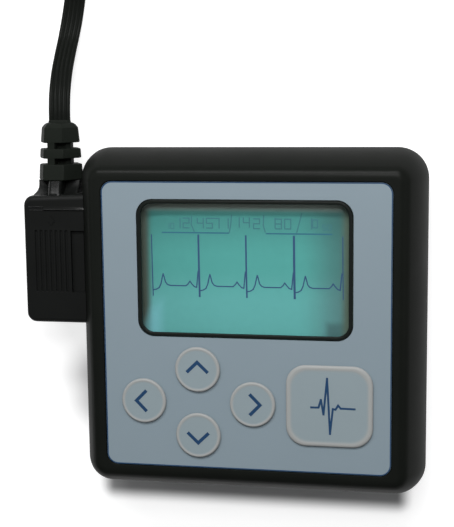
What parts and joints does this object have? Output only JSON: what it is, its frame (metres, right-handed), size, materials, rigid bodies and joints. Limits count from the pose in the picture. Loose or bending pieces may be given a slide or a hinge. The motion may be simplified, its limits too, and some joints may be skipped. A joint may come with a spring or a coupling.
{
  "type": "holter monitor",
  "caption": "Pocket ECG recorder with a screen, round arrow keys and an event key, and a side plug on a flat lead cable that ends in snap connectors.",
  "frame": {"origin": "under the middle of the case, on the plane of its back face", "axes": "+Z is the front panel's outward normal, +Y points to the recorder's top edge, +X to its right side; the plug is on the -X side"},
  "size_m": [0.0845, 0.1687, 0.0214],
  "materials": {
    "case_black": "fine moulded texture, satin",
    "panel_film": "printed film, fine matt",
    "ring_black": "smooth",
    "clear_lens": "clear acrylic",
    "screen_face": "backlit liquid crystal",
    "light_guide": "milky",
    "frame_grey": "moulded",
    "flex_film": "amber film",
    "key_cap": "coated silicone, matt",
    "spring_steel": "bright",
    "board_green": "solder mask",
    "chip_black": "moulded",
    "cell_sleeve": "plain sleeve",
    "contact_brass": "plain",
    "screw_steel": "dark zinc",
    "plug_black": "moulded, satin",
    "boot_black": "flexible vinyl, matt",
    "cord_black": "flexible vinyl, satin",
    "tie_black": "hook and loop tape",
    "snap_red": "moulded",
    "snap_white": "moulded",
    "snap_black": "moulded",
    "snap_brown": "moulded",
    "snap_green": "moulded"
  },
  "bodies": {
    "case": {"front_shell": "case_black", "rear_shell": "case_black", "front_overlay": "panel_film", "screen_bezel": "ring_black", "window_lens": "clear_lens", "lcd_glass": "screen_face", "lcd_backlight": "light_guide", "lcd_frame": "frame_grey", "lcd_flex": "flex_film", "dome_sheet": "spring_steel", "main_board": "board_green", "processor_chip": "chip_black", "memory_chip": "chip_black", "amplifier_chip": "chip_black", "beeper": "chip_black", "backup_cell": "spring_steel", "battery_cell": "cell_sleeve", "battery_spring": "spring_steel", "battery_contact": "spring_steel", "lead_socket": "chip_black", "socket_pins": "contact_brass", "case_screw_1": "screw_steel", "case_screw_2": "screw_steel", "case_screw_3": "screw_steel", "case_screw_4": "screw_steel", "threaded_insert_1": "contact_brass", "threaded_insert_2": "contact_brass", "threaded_insert_3": "contact_brass", "threaded_insert_4": "contact_brass"},
    "up_key": {"key_up": "key_cap"},
    "down_key": {"key_down": "key_cap"},
    "left_key": {"key_left": "key_cap"},
    "right_key": {"key_right": "key_cap"},
    "event_key": {"key_event": "key_cap"},
    "door": {"battery_door": "case_black"},
    "patient_cable": {"plug_housing": "plug_black", "plug_shield": "spring_steel", "plug_tongue": "chip_black", "cord_boot": "boot_black", "cord_ribbon": "cord_black", "cord_coil": "cord_black", "coil_tie": "tie_black", "lead_yoke": "boot_black", "lead_wire_1": "cord_black", "lead_wire_2": "cord_black", "lead_wire_3": "cord_black", "lead_wire_4": "cord_black", "lead_wire_5": "cord_black", "snap_1": "snap_red", "snap_2": "snap_white", "snap_3": "snap_black", "snap_4": "snap_brown", "snap_5": "snap_green", "snap_eyelet_1": "spring_steel", "snap_eyelet_2": "spring_steel", "snap_eyelet_3": "spring_steel", "snap_eyelet_4": "spring_steel", "snap_eyelet_5": "spring_steel"}
  },
  "joints": [
    {"name": "up_press", "type": "slide", "parent": "case", "child": "up_key", "axis": [0, 0, -1], "range_m": [0, 0.0003], "stiffness_N_per_m": 2000},
    {"name": "down_press", "type": "slide", "parent": "case", "child": "down_key", "axis": [0, 0, -1], "range_m": [0, 0.0003], "stiffness_N_per_m": 2000},
    {"name": "left_press", "type": "slide", "parent": "case", "child": "left_key", "axis": [0, 0, -1], "range_m": [0, 0.0003], "stiffness_N_per_m": 2000},
    {"name": "right_press", "type": "slide", "parent": "case", "child": "right_key", "axis": [0, 0, -1], "range_m": [0, 0.0003], "stiffness_N_per_m": 2000},
    {"name": "event_press", "type": "slide", "parent": "case", "child": "event_key", "axis": [0, 0, -1], "range_m": [0, 0.0003], "stiffness_N_per_m": 2000},
    {"name": "door_slide", "type": "slide", "parent": "case", "child": "door", "axis": [0, -1, 0], "range_m": [0, 0.02]},
    {"name": "plug_pull", "type": "slide", "parent": "case", "child": "patient_cable", "axis": [-1, 0, 0], "range_m": [0, 0.012]}
  ]
}
